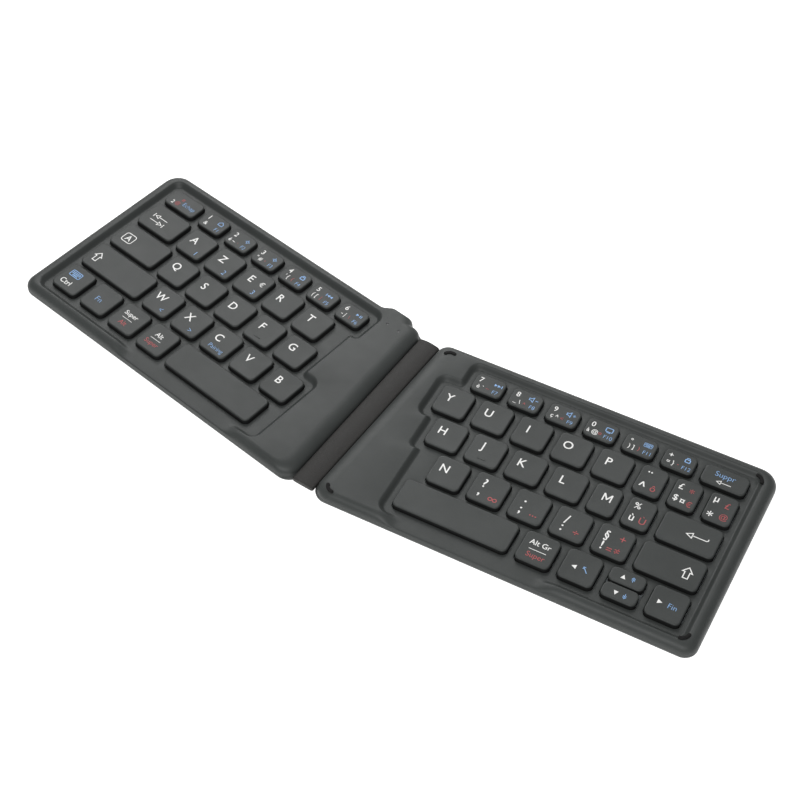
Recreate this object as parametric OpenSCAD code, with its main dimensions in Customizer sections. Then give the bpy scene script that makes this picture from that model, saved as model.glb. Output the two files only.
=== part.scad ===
// Folding keyboard: two key halves on a bending strip. Millimetres.
// X runs to the right along the keys, Y away from the typist, Z up, with the feet on Z = 0
// and the fold line over the middle of the footprint. The left half is the right half's mirror
// image outside; only the key rows differ.

/* [Case] */
// bare deck between the fold line and the longest row of keys
deck_w = 24.6; // [23:0.2:28]
// turn of each key block, rows falling towards the fold
splay = 6.8; // [5.5:0.1:8]
// case before and behind the key field
edge = 7.9; // [7.6:0.1:9]
// case beside the key field
side_edge = 8.8; // [8:0.1:10]
// outer corners at the back
corner_r = 7; // [5:0.5:8]
// outer corners in front
front_corner_r = 5; // [4:0.5:7]
// front corners beside the fold; those at the back are tighter
fold_corner_r = 6; // [5:0.5:6.5]
// rounding of the upper edge
top_r = 3.2; // [2.4:0.1:3.4]
// rounding of the lower edge
bottom_r = 2.2; // [1.2:0.1:2.4]
// width of the slope down to the strip
roll_w = 5.5; // [4:0.5:7]
// thickness of each half without its feet
case_h = 6.3; // [6.2:0.1:7]
// side walls
wall = 1.4; // [1.2:0.1:1.6]
// floor of the lower covers
floor_t = 0.9; // [0.8:0.1:1.1]
// key field below the rim
well_d = 2; // [1.7:0.1:2.1]
// web between the key openings
web_t = 1.1; // [0.9:0.1:1.2]
// level border round the keys
well_m = 2.4; // [2.2:0.1:2.6]
// width of the soft slope from that border up to the rim
ramp_w = 2.1; // [1.2:0.1:2.3]

/* [Keys] */
// spacing of the letter keys
pitch = 16; // [15.6:0.1:16.4]
// spacing of the number keys
number_pitch = 15.2; // [15:0.1:15.6]
// spacing of the narrow keys
narrow_pitch = 13.1; // [12.8:0.1:13.4]
// spacing of the rows
row_pitch = 15.1; // [14.8:0.1:15.6]
// bare strip between keys of a row
gap_x = 3; // [2.7:0.1:3.3]
// bare strip between rows
gap_y = 2.1; // [1.8:0.1:2.4]
// depth of the first row
number_d = 8.6; // [8.2:0.1:9]
// plan radius of a keycap's corners
key_r = 2; // [1.4:0.1:2.4]
// keycap wall
cap_t = 0.9; // [0.8:0.1:1]
// travel of every key
travel = 1.4; // [1:0.1:1.5]
// room round a keycap in its opening
key_play = 0.3; // [0.25:0.05:0.4]

/* [Fold] */
// distance between the two fold axes
link_w = 7.5; // [7:0.1:8]
// radius of the strip's edge beads
bead_r = 0.9; // [0.8:0.05:1]
// crown of the strip above its edges
crown = 0.5; // [0.2:0.1:0.7]
// gap between the rims when folded
fold_gap = 0.5; // [0.45:0.05:0.8]

/* [Feet and bumpers] */
// feet below the covers
foot_h = 0.5; // [0.4:0.1:0.8]
// radius of a foot
foot_r = 4; // [3:0.5:5]
// radius of a bumper's arc
bumper_r = 2.9; // [2.6:0.1:3.2]
// width of a bumper
bumper_w = 1.3; // [1:0.1:1.4]

/* [Hidden] */
$fn = 48;
key_w = pitch - gap_x;
key_d = row_pitch - gap_y;
num_w = number_pitch - gap_x;
slim_w = narrow_pitch - gap_x;
row_y = [for (i = [0:4]) i * row_pitch];
row_d = [key_d, key_d, key_d, key_d, number_d];
field_d = row_y[4] + number_d;

// key widths of each row, from the outer edge inwards, front row first
left_rows = [
    [key_w, key_w, key_w, key_w, 44.2],
    [32.05, key_w, key_w, key_w, key_w, key_w],
    [24.45, key_w, key_w, key_w, key_w, key_w],
    [19.45, key_w, key_w, key_w, key_w, key_w],
    [16.4, num_w, num_w, num_w, num_w, num_w, num_w]];
right_rows = [
    [key_w, key_w, key_w, key_w, 44.7],
    [23.3, key_w, key_w, key_w, key_w, key_w],
    [21.6, slim_w, slim_w, key_w, key_w, key_w, key_w],
    [slim_w + 0.3, slim_w, slim_w, key_w, key_w, key_w, key_w, key_w],
    [16.9, num_w, num_w, num_w, num_w, num_w, num_w]];

// distance along the rows from the key field's outer end to the fold line; the deck is wider beside
// the number keys, where the board lies
number_deck = 8.4;
fold_u = deck_w + max(concat([for (r = concat(left_rows, right_rows)) row_u(r)],
                             [for (r = [left_rows[4], right_rows[4]]) row_u(r) + number_deck]));
field_x = fold_u * cos(splay);

z_rim = foot_h + case_h;
z_key = z_rim - 0.1;
z_web = z_rim - well_d;
z_under = z_web - web_t;
z_axis = z_rim - (link_w - fold_gap) / 2;
z_floor = foot_h + floor_t;
z_plate = z_floor + 0.4;
z_sheet = z_plate + 0.25;
z_skirt = z_sheet + travel + 0.35;
z_dome = z_key - cap_t - 0.9;
fold_edge = link_w / 2 + bead_r + 0.15;
// the key field's place that centres the footprint on the origin
back_reach = sin(splay) * (side_edge - corner_r) + cos(splay) * (field_d + edge - corner_r) + corner_r;
front_reach = (fold_corner_r - edge) / cos(splay) - fold_corner_r
    - (field_x - link_w / 2 - fold_corner_r) * tan(splay);
field_y = -(back_reach + front_reach) / 2;

function total(v, n) = n <= 0 ? 0 : v[n - 1] + total(v, n - 1);
function key_u(row, i) = total(row, i) + i * gap_x;
function row_u(row) = key_u(row, len(row)) - gap_x;
function unit(v) = v / norm(v);
function turn(v, a) = [v[0] * cos(a) - v[1] * sin(a), v[0] * sin(a) + v[1] * cos(a)];

// arc of n steps that rounds the corner at p between its neighbours a and b
function arc(p, a, b, r, n) =
    let (u = unit(a - p), v = unit(b - p), half = acos(u * v) / 2,
         c = p + unit(u + v) * r / sin(half), s = p + u * r / tan(half) - c,
         way = u[0] * v[1] - u[1] * v[0] > 0 ? -1 : 1)
    [for (i = [0:n]) c + turn(s, way * (180 - 2 * half) * i / n)];
function rounded(pts, radii, n) =
    let (k = len(pts))
    [for (i = [0:k - 1]) each arc(pts[i], pts[(i + k - 1) % k], pts[(i + 1) % k], radii[i], n)];

// a point of the right half's key field, seen from the fold line
function place(p) = [field_x, field_y] + turn(p, splay);
// where the row line y crosses the distance x from the fold line
function on_row(y, x) =
    let (p = place([0, y]), t = (x - p[0]) / cos(splay)) [x, p[1] + t * sin(splay)];

// outline of a half, e inside its outer edges and h inside its fold edge; the left half's back
// edge swells round the charging socket and runs down to the fold corner
function case_pts(rows, e, h) =
    let (back = field_d + edge - e, out = field_d + edge + boss_out - e * 0.8,
         inner = fold_corner_r - 1.8 - e * 0.4, foot = max(h, fold_edge) + inner * 0.9 + 1.1,
         boss = [on_row(back, boss_x + 3.5 + e * 0.3), on_row(out, boss_x - e * 0.2),
                 on_row(out, foot + 2.2), on_row(back, foot)])
    rounded(concat([place([side_edge - e, -edge + e]), place([side_edge - e, back])],
                   rows == left_rows ? boss : [], [on_row(back, h), on_row(-edge + e, h)]),
            concat([front_corner_r - e * 0.5, corner_r - e * 0.6],
                   rows == left_rows ? [4 + e * 0.6, 3.5 - e * 0.6, 2.5 - e * 0.4, 0.4] : [],
                   [inner, fold_corner_r - e * 0.6]), 6);

// reach of the key field at each row, the same for rows that share one straight edge
function reach(rows) =
    let (u = [for (r = rows) row_u(r)])
    rows == left_rows ? [max(u[0], u[1]), max(u[0], u[1]), max(u[2], u[3]), max(u[2], u[3]), u[4]]
                      : [max(u[0], u[1]), max(u[0], u[1]), u[2], u[3], u[4]];
// outline round the keys of a half at the distance m, corners of radius r
function field_pts(rows, m, r) =
    let (u = reach(rows),
         steps = [for (j = [3:-1:0]) if (abs(u[j + 1] - u[j]) > 0.5)
             let (y = u[j] > u[j + 1] ? row_y[j] + row_d[j] + m : row_y[j + 1] - m)
             each [[-u[j + 1] - m, y], [-u[j] - m, y]]],
         jogs = [for (j = [3:-1:0]) if (abs(u[j + 1] - u[j]) > 0.5)
             let (s = min(r, abs(u[j + 1] - u[j]) * 0.49)) each [s, s]])
    rounded(concat([[m, -m], [m, field_d + m], [-u[4] - m, field_d + m]], steps, [[-u[0] - m, -m]]),
            concat([r, r, r], jogs, [r]), 4);

// closed skin over rings that all have the same number of points
module loft(heights, rings) {
    n = len(rings[0]);
    k = len(rings);
    polyhedron(
        [for (i = [0:k - 1]) for (p = rings[i]) [p[0], p[1], heights[i]]],
        concat([[for (j = [0:n - 1]) j]], [[for (j = [n - 1:-1:0]) (k - 1) * n + j]],
            [for (i = [0:k - 2]) for (j = [0:n - 1]) let (a = i * n + j, b = i * n + (j + 1) % n)
                each [[a, a + n, b + n], [a, b + n, b]]]));
}
module prism(pts, z0, z1) {
    translate([0, 0, z0]) linear_extrude(z1 - z0) polygon(pts);
}
// puts what is drawn for the right half on either side of the fold
module side(rows) {
    if (rows == left_rows) mirror([1, 0, 0]) children();
    else children();
}
// the key field's own frame: X to the right, Y back, from its outer front corner
module field() {
    translate([field_x, field_y, 0]) rotate([0, 0, splay]) children();
}
function box_pts(w, d, r, e) =
    rounded([[w / 2 - e, -d / 2 + e], [w / 2 - e, d / 2 - e], [-w / 2 + e, d / 2 - e], [-w / 2 + e, -d / 2 + e]],
            [r - e / 2, r - e / 2, r - e / 2, r - e / 2], 3);
module at_key(rows, j, i) {
    translate([-key_u(rows[j], i) - rows[j][i] / 2, row_y[j] + row_d[j] / 2, 0]) children();
}
module at_keys(rows) {
    for (j = [0:4]) for (i = [0:len(rows[j]) - 1]) at_key(rows, j, i) {
        $w = rows[j][i];
        $d = row_d[j];
        if (rows == right_rows && j == 0 && i == 1) for (s = [-1, 1]) {
            $d = half_d;
            translate([0, s * (half_d + split) / 2, 0]) children();
        }
        else children();
    }
}

// the flat cable's place along the fold
cable_v = row_y[3] + 16.7;
cable_y = place([25.2 - fold_u, cable_v])[1];
board_u = max(reach(left_rows)[3], reach(left_rows)[4]) + 2.6;
socket_x = 26.4 - fold_u;
// the two vertical arrow keys share one key's place
split = 0.7;
half_d = (key_d - split) / 2;
strip_y = [on_row(-edge, 0)[1] + 2.7, on_row(field_d + edge, 0)[1] - 1.6];
crown_r = ((link_w / 2) ^ 2 + crown ^ 2) / (2 * crown);

c_case = [0.33, 0.35, 0.34];
c_key = [0.30, 0.32, 0.31];
c_strip = [0.26, 0.25, 0.23];
c_rubber = [0.08, 0.08, 0.08];
c_steel = [0.72, 0.73, 0.75];
c_film = [0.80, 0.84, 0.86];
c_board = [0.10, 0.36, 0.22];

upper_a = [for (i = [0:5]) i * 18];
lower_a = [for (i = [0:3]) i * 30];
// the charging boss that stands out behind the left half
boss_x = 21;
boss_out = 2.4;

module upper_skin(pts_at) {
    loft(concat([z_axis], [for (a = upper_a) z_rim - top_r * (1 - sin(a))]),
         concat([pts_at[0]], pts_at));
}
module lower_skin(pts_at) {
    loft(concat([for (a = lower_a) foot_h + bottom_r * (1 - cos(a))], [z_axis]),
         concat(pts_at, [pts_at[3]]));
}
module upper_case(rows) {
    upper_skin([for (a = upper_a) case_pts(rows, top_r * (1 - cos(a)), fold_edge + roll_w * (1 - cos(a)))]);
}
module lower_case(rows) {
    lower_skin([for (a = lower_a) case_pts(rows, bottom_r * (1 - sin(a)), link_w / 2 + 0.4 * (1 - sin(a)))]);
}

// groove for the strip's bead, and the way through for the flat cable
module fold_cuts() {
    translate([link_w / 2, 0, z_axis]) rotate([90, 0, 0]) cylinder(r = bead_r + 0.12, h = 200, center = true);
    translate([link_w / 2, cable_y - 5.3, z_axis - 0.35]) cube([9, 10.6, 0.7]);
}
// upper cover: rim and deck round the key well, with a finger scoop at the front edge
module upper_cover(rows) {
    difference() {
        upper_case(rows);
        field() {
            prism(field_pts(rows, well_m, 2.4), z_axis - 1, z_web + 0.3);
            loft([z_web + 0.2, z_rim + 0.1], [field_pts(rows, well_m, 2.4), field_pts(rows, well_m + ramp_w, 4)]);
            scoop();
        }
        prism(case_pts(rows, wall, fold_edge + wall), z_axis - 1, z_under);
        deck_hollow(rows);
        fold_cuts();
        if (rows == left_rows) {
            socket_cut();
            at_lights() cylinder(r = 0.55, h = 20);
        } else at_bumpers() bumper_ring(bumper_r - 0.05, bumper_w + 0.1, z_rim - 0.3, z_rim + 1);
    }
}
// floor of the key well, with an opening for each key; the split arrow keys share one
module key_grid(rows) {
    field() difference() {
        prism(field_pts(rows, well_m, 2.4), z_under, z_web);
        for (j = [0:4]) for (i = [0:len(rows[j]) - 1]) at_key(rows, j, i)
            prism(box_pts(rows[j][i] + 2 * key_play, row_d[j] + 2 * key_play, key_r + key_play, 0),
                  z_under - 1, z_web + 1);
    }
}
module scoop() {
    u1 = fold_u - 38.2;
    u0 = u1 - 52.5;
    translate([0, -well_m + 0.5, 0]) rotate([90, 0, 0]) linear_extrude(edge)
        polygon([[-u1 - 9, z_rim + 0.5], [-u1, z_web], [-u0, z_web], [-u0 + 9, z_rim + 0.5]]);
}
// room under the deck between the key field and the fold
module deck_hollow(rows) {
    translate([0, 0, z_axis]) linear_extrude(z_rim - 1.3 - z_axis) intersection() {
        difference() {
            polygon(case_pts(rows, wall + 0.8, fold_edge + 2.8));
            translate([field_x, field_y]) rotate(splay) polygon(field_pts(rows, edge - wall - 0.7, 3));
        }
        translate([0, -100]) square([40, 200]);
    }
}
module lower_cover(rows) {
    difference() {
        lower_case(rows);
        prism(case_pts(rows, wall, fold_edge + wall), z_floor, z_axis + 1);
        fold_cuts();
        if (rows == left_rows) socket_cut();
        at_feet() cylinder(r = foot_r + 0.1, h = foot_h + 0.2);
    }
}
module at_feet() {
    field() for (x = [-8, 41.2 - fold_u], y = [4, field_d - 6]) translate([x, y, 0]) children();
}
module feet() {
    at_feet() cylinder(r = foot_r, h = foot_h + 0.2);
}

module key_plate(rows) {
    field() prism(field_pts(rows, 1.2, 1), z_floor, z_plate);
}
module membrane(rows) {
    field() {
        prism(field_pts(rows, 0.8, 1), z_plate, z_sheet);
        // tail towards the fold, where the flat cable lands
        if (rows == right_rows) translate([19.2 - fold_u, cable_v - 5, z_plate])
            cube([fold_u - 19.2 - row_u(right_rows[3]), 10, 0.25]);
    }
}
// rubber dome under each key, thinner under the shallow ones
module domes(rows) {
    field() at_keys(rows) {
        r = $d < key_d - 0.1 ? 1.6 : 2.6;
        translate([0, 0, z_sheet]) difference() {
            cylinder(r1 = r, r2 = 1.2, h = z_dome - z_sheet);
            translate([0, 0, -0.01]) cylinder(r1 = r - 0.4, r2 = 0.8, h = z_dome - z_sheet - 0.4);
        }
    }
}
// pair of crossed frames that carries each key level; the half-height keys have none
module scissors(rows) {
    field() at_keys(rows) if ($d > half_d) {
        long = min($w - 2 * cap_t - 0.8, 9.4);
        arm = $d < key_d - 0.1 ? 3.1 : 4.9;
        rise = asin((z_key - cap_t - z_sheet - 1.5) / long);
        translate([0, 0, (z_key - cap_t + z_sheet) / 2]) {
            rotate([0, rise, 0]) link(long, arm);
            rotate([0, -rise, 0]) link(long, arm - 0.75);
        }
    }
}
module link(long, arm) {
    difference() {
        cube([long, 2 * arm, 0.6], center = true);
        cube([long - 1.4, 2 * arm - 1.2, 1], center = true);
    }
}

// keycap with a bevelled top, hollow below, with the plunger that meets its dome
module keycap(w, d, bar = false) {
    difference() {
        union() {
            prism(box_pts(w, d, key_r, 0), z_skirt, z_key - 0.4);
            loft([z_key - 0.4, z_key], [box_pts(w, d, key_r, 0), box_pts(w, d, key_r, 0.35)]);
        }
        translate([-w / 2 + cap_t, -d / 2 + cap_t, z_skirt - 1])
            cube([w - 2 * cap_t, d - 2 * cap_t, z_key - cap_t - z_skirt + 1]);
    }
    translate([0, 0, z_dome + 0.03]) cylinder(r = 0.9, h = z_key - cap_t - z_dome);
    if (bar) translate([-1.6, -d / 2 + 2.2, z_key - 0.1]) cube([3.2, 0.5, 0.25]);
}
module left_key(j, i, bar = false) {
    color(c_key) side(left_rows) field() at_key(left_rows, j, i) keycap(left_rows[j][i], row_d[j], bar);
}
module right_key(j, i, bar = false) {
    color(c_key) field() at_key(right_rows, j, i) keycap(right_rows[j][i], row_d[j], bar);
}

// where the arc bumpers stand, each turned into its own corner
module at_bumpers() {
    field() {
        translate([side_edge - 7.2, -edge + 7, 0]) rotate([0, 0, -95]) children();
        translate([side_edge - 8.1, field_d + edge - 7.9, 0]) rotate([0, 0, -5]) children();
    }
    translate(concat(on_row(field_d + edge - 7, fold_edge + 6.8), 0)) rotate([0, 0, 65]) children();
    translate(concat(on_row(-edge + 5.6, fold_edge + 7.1), 0)) rotate([0, 0, 188]) children();
}
module bumper_ring(r, w, z0, z1) {
    translate([0, 0, z0]) rotate_extrude(angle = 100) translate([r - w / 2, 0]) square([w, z1 - z0]);
}
module at_lights() {
    field() for (x = [26.2, 20.5]) translate([x - fold_u, field_d + 1.2, z_floor + 0.7]) children();
}
module socket_cut() {
    field() translate([socket_x - 4, field_d + 4, z_floor + 0.75]) cube([8, 12, 3]);
}

module left_upper_cover() color(c_case) side(left_rows) upper_cover(left_rows);
module right_upper_cover() color(c_case) upper_cover(right_rows);
module left_lower_cover() color(c_case) side(left_rows) lower_cover(left_rows);
module right_lower_cover() color(c_case) lower_cover(right_rows);
module left_key_grid() color(c_case) side(left_rows) key_grid(left_rows);
module right_key_grid() color(c_case) key_grid(right_rows);
module left_key_plate() color(c_steel) side(left_rows) key_plate(left_rows);
module right_key_plate() color(c_steel) key_plate(right_rows);
module left_membrane() color(c_film) side(left_rows) membrane(left_rows);
module right_membrane() color(c_film) membrane(right_rows);
module left_domes() color(c_film) side(left_rows) domes(left_rows);
module right_domes() color(c_film) domes(right_rows);
module left_scissors() color(c_case) side(left_rows) scissors(left_rows);
module right_scissors() color(c_case) scissors(right_rows);
module left_feet() color(c_rubber) side(left_rows) feet();
module right_feet() color(c_rubber) feet();

// flat cell under the left deck
module battery() color(c_steel) side(left_rows) field()
    translate([12.8 - fold_u, -2, z_floor]) cube([9.2, 42, 3.5]);
// board with its controller and the light pipes of the two indicators
module main_board() color(c_board) side(left_rows) {
    field() {
        translate([19.2 - fold_u, field_d - 21, z_floor]) cube([fold_u - 19.2 - board_u, 26.8, 0.8]);
        translate([22.2 - fold_u, field_d - 19.5, z_floor + 0.8]) cube([6, 5.5, 0.9]);
    }
    at_lights() cylinder(r = 0.5, h = z_rim - 0.4 - z_floor - 0.7);
}
// shell of the charging socket with its tongue
module charge_socket() color(c_steel) side(left_rows) field()
    translate([socket_x, field_d + edge + boss_out - 0.4, z_floor + 0.8]) {
        difference() {
            translate([-3.75, -5.6, 0]) cube([7.5, 5.6, 2.7]);
            translate([-3.35, -5.2, 0.35]) cube([6.7, 6, 2]);
        }
        translate([-2.6, -5.4, 1.1]) cube([5.2, 4.2, 0.5]);
    }
module bumpers() color(c_rubber) at_bumpers() bumper_ring(bumper_r, bumper_w, z_rim - 0.3, z_rim + fold_gap - 0.08);
// two discs that hold the folded halves together by the other half's steel plate
module magnets() color(c_steel) field() for (y = [22, 54])
    translate([4.2, y, z_floor]) cylinder(r = 2.4, h = 1.8);

// bending strip: a crowned band with a bead along each edge and a slot for the cable
module hinge_strip() color(c_strip) difference() {
    translate([0, strip_y[1], 0]) rotate([90, 0, 0]) linear_extrude(strip_y[1] - strip_y[0]) {
        for (s = [-1, 1]) translate([s * link_w / 2, z_axis]) circle(bead_r);
        translate([-link_w / 2, z_axis - bead_r]) square([link_w, 2 * bead_r]);
        intersection() {
            translate([0, z_axis + bead_r + crown - crown_r]) circle(crown_r, $fn = 120);
            translate([-link_w / 2, z_axis]) square([link_w, 4]);
        }
    }
    translate([-link_w, cable_y - 5.2, z_axis - 0.25]) cube([2 * link_w, 10.4, 0.5]);
}
// ribbon through the strip, with a foot on the main board and one on the right membrane
module flex_cable() color([0.75, 0.45, 0.12]) translate([0, cable_y - 5, 0]) {
    translate([-13, 0, z_axis - 0.1]) cube([26, 10, 0.2]);
    translate([-13, 0, z_floor + 0.8]) cube([0.2, 10, z_axis - z_floor - 0.8]);
    translate([-16, 0, z_floor + 0.8]) cube([3.2, 10, 0.2]);
    translate([12.8, 0, z_sheet]) cube([0.2, 10, z_axis - z_sheet]);
    translate([12.8, 0, z_sheet]) cube([3.2, 10, 0.2]);
}

// the first rows and the outer keys move as banks; every other key moves alone
module number_keys_left() for (i = [0:6]) left_key(4, i);
module number_keys_right() for (i = [0:6]) right_key(4, i);
module outer_keys_left() {
    for (j = [1:3]) left_key(j, 0);
    for (i = [0:3]) left_key(0, i);
}
module outer_keys_right() {
    for (i = [0:2]) right_key(3, i);
    right_key(2, 1);
    right_key(1, 0);
    for (i = [0, 2, 3]) right_key(0, i);
    color(c_key) field() at_key(right_rows, 0, 1) for (s = [-1, 1])
        translate([0, s * (half_d + split) / 2, 0]) keycap(key_w, half_d);
}
module key_a() left_key(3, 1);
module key_z() left_key(3, 2);
module key_e() left_key(3, 3);
module key_r() left_key(3, 4);
module key_t() left_key(3, 5);
module key_q() left_key(2, 1);
module key_s() left_key(2, 2);
module key_d() left_key(2, 3);
module key_f() left_key(2, 4, true);
module key_g() left_key(2, 5);
module key_w() left_key(1, 1);
module key_x() left_key(1, 2);
module key_c() left_key(1, 3);
module key_v() left_key(1, 4);
module key_b() left_key(1, 5);
module key_space_left() left_key(0, 4);
module key_y() right_key(3, 7);
module key_u() right_key(3, 6);
module key_i() right_key(3, 5);
module key_o() right_key(3, 4);
module key_p() right_key(3, 3);
module key_h() right_key(2, 6);
module key_j() right_key(2, 5, true);
module key_k() right_key(2, 4);
module key_l() right_key(2, 3);
module key_m() right_key(2, 2);
module key_n() right_key(1, 5);
module key_comma() right_key(1, 4);
module key_semicolon() right_key(1, 3);
module key_colon() right_key(1, 2);
module key_exclamation() right_key(1, 1);
module key_enter() right_key(2, 0);
module key_space_right() right_key(0, 4);

left_upper_cover();
left_lower_cover();
left_key_plate();
left_membrane();
left_domes();
left_key_grid();
left_scissors();
left_feet();
battery();
main_board();
charge_socket();
right_upper_cover();
right_lower_cover();
right_key_plate();
right_membrane();
right_domes();
right_key_grid();
right_scissors();
right_feet();
bumpers();
magnets();
hinge_strip();
flex_cable();
number_keys_left();
number_keys_right();
outer_keys_left();
outer_keys_right();
key_a();
key_z();
key_e();
key_r();
key_t();
key_q();
key_s();
key_d();
key_f();
key_g();
key_w();
key_x();
key_c();
key_v();
key_b();
key_space_left();
key_y();
key_u();
key_i();
key_o();
key_p();
key_h();
key_j();
key_k();
key_l();
key_m();
key_n();
key_comma();
key_semicolon();
key_colon();
key_exclamation();
key_enter();
key_space_right();
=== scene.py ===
import math

import bmesh
import bpy
import numpy as np
from mathutils import Matrix, Vector
from mathutils.geometry import delaunay_2d_cdt


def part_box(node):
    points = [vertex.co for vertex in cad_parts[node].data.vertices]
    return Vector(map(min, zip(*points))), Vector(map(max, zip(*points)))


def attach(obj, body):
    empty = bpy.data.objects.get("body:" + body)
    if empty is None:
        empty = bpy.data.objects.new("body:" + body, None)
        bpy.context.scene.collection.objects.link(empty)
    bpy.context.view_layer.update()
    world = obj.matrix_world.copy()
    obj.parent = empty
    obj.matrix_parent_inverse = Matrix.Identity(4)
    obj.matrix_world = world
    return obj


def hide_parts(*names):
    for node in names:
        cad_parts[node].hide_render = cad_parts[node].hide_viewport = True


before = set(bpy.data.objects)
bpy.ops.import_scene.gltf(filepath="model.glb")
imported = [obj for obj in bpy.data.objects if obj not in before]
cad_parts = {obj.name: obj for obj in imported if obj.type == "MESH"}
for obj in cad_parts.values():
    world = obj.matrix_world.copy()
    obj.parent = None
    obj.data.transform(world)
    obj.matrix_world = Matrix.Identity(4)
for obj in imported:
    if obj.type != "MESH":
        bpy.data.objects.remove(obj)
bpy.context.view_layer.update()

mm = 0.001
sides = ("left", "right")

# plan of the keyboard in millimetres; the outer edges stand 0.05 inside those of the solids
plan = {
    "deckWidth": 24.6,          # bare deck between the fold line and the longest row
    "splay": 6.8,               # turn of each key block, in degrees
    "linkWidth": 7.5,           # between the two fold lines
    "frontEdge": 7.85,          # case before and behind the keys
    "sideEdge": 8.75,           # case beside the keys
    "cornerRadius": 7.0,        # outer corners at the back
    "frontCornerRadius": 5.0,
    "foldCornerRadius": 6.0,
    "foldBackRadius": 4.2,
    "foldEdge": 4.8,            # fold line to the upper cover
    "wellBorder": 2.4,          # level border round the keys
    "wellRadius": 2.4,          # its corners
    "wellLeastRadius": 0.25,
    "wellStep": 0.5,            # rows that end closer together than this share an edge
    "rampWidth": 2.1,           # soft slope from that border up to the rim
    "bossX": 21.0,              # outer end of the charging boss behind the left half
    "bossOut": 2.4,
    "bossRuns": (3.5, 2.2),     # its slanted ends, outer and inner
    "bossGap": 1.1,             # from the corner beside the strip to its inner end
    "bossRadii": (4, 3.5, 2.5, 0.8),
    "footHeight": 0.5,
    "axisZ": 3.3,               # seam between the covers, and the fold axes
    "webZ": 4.8,                # floor of the key well
    "rimZ": 6.8,
    "keyZ": 6.7,
    "skirtZ": 3.8,
}
keySize = {
    "rowPitch": 15.1, "depth": 13.0, "width": 13.0, "gap": 3.0,
    "numberDepth": 8.6, "numberWidth": 12.2, "narrowWidth": 10.1,
    "split": 0.7,               # between the two vertical arrow keys
}
normal, narrow, small = keySize["width"], keySize["narrowWidth"], keySize["numberWidth"]
# key widths from the outer edge inwards, front row first
rows = {
    "left": [[normal] * 4 + [44.2], [32.05] + [normal] * 5, [24.45] + [normal] * 5,
             [19.45] + [normal] * 5, [16.4] + [small] * 6],
    "right": [[normal] * 4 + [44.7], [23.3] + [normal] * 5, [21.6] + [narrow] * 2 + [normal] * 4,
              [narrow + 0.3] + [narrow] * 2 + [normal] * 5, [16.9] + [small] * 6],
}
rowY = np.arange(5) * keySize["rowPitch"]
rowDepth = np.array([keySize["depth"]] * 4 + [keySize["numberDepth"]])
fieldDepth = float(rowY[4] + rowDepth[4])
rowReach = {side: [sum(row) + keySize["gap"] * (len(row) - 1) for row in rows[side]] for side in sides}
slope = math.radians(plan["splay"])
# distance along the rows from the outer end of the keys to the fold line, and the block's place
foldU = plan["deckWidth"] + max(rowReach["left"] + rowReach["right"])
fieldX = foldU * math.cos(slope)


def centredFieldY():
    # minus half the sum of the outline's backmost and foremost y, which centres the keyboard on y = 0
    p = plan
    reach = fieldDepth + p["frontEdge"] - p["cornerRadius"]
    back = math.sin(slope) * (p["sideEdge"] - p["cornerRadius"]) + math.cos(slope) * reach + p["cornerRadius"]
    run = fieldX - p["linkWidth"] / 2 - p["foldCornerRadius"]
    front = ((p["foldCornerRadius"] - p["frontEdge"]) / math.cos(slope) - p["foldCornerRadius"]
             - run * math.tan(slope))
    return -(back + front) / 2


fieldY = centredFieldY()


def unit(v):
    return v / np.linalg.norm(v, axis=-1, keepdims=True)


def place(points):
    # points of the right key block, turned by the splay and moved to their place
    points = np.asarray(points, float)
    x, y = points[..., 0], points[..., 1]
    return np.stack([fieldX + x * math.cos(slope) - y * math.sin(slope),
                     fieldY + x * math.sin(slope) + y * math.cos(slope)], -1)


def onRow(y, x):
    # where the row line y is at the distance x from the fold line
    start = place([0, y])
    return np.array([x, start[1] + (x - start[0]) * math.tan(slope)])


def roundLoop(corners, radii, steps):
    # each corner of a closed outline becomes an arc of equal turns: its centre lies on the bisector at
    # radius / sin(half the corner), its ends at radius / tan(half the corner) along the two sides
    corners, radii = np.asarray(corners, float), np.asarray(radii, float)
    toBefore = unit(np.roll(corners, 1, 0) - corners)
    toAfter = unit(np.roll(corners, -1, 0) - corners)
    half = np.arccos(np.clip((toBefore * toAfter).sum(1), -1, 1)) / 2
    centre = corners + unit(toBefore + toAfter) * (radii / np.sin(half))[:, None]
    arm = corners + toBefore * (radii / np.tan(half))[:, None] - centre
    way = np.where(toBefore[:, 0] * toAfter[:, 1] - toBefore[:, 1] * toAfter[:, 0] > 0, -1.0, 1.0)
    angle = (way * (math.pi - 2 * half))[:, None] * np.linspace(0, 1, steps + 1)
    x = arm[:, :1] * np.cos(angle) - arm[:, 1:] * np.sin(angle)
    y = arm[:, :1] * np.sin(angle) + arm[:, 1:] * np.cos(angle)
    return (centre[:, None, :] + np.stack([x, y], -1)).reshape(-1, 2)


# what each radius and each end of the boss takes of an inset, so that the rings inside stay round
insetShare = {
    "frontCorner": 0.5, "corner": 0.6, "foldBack": 0.4, "foldCorner": 0.6,
    "bossOut": 0.8, "bossEnd": (0.3, -0.2), "bossRadii": (0.6, -0.6, -0.4, 0),
}


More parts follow.
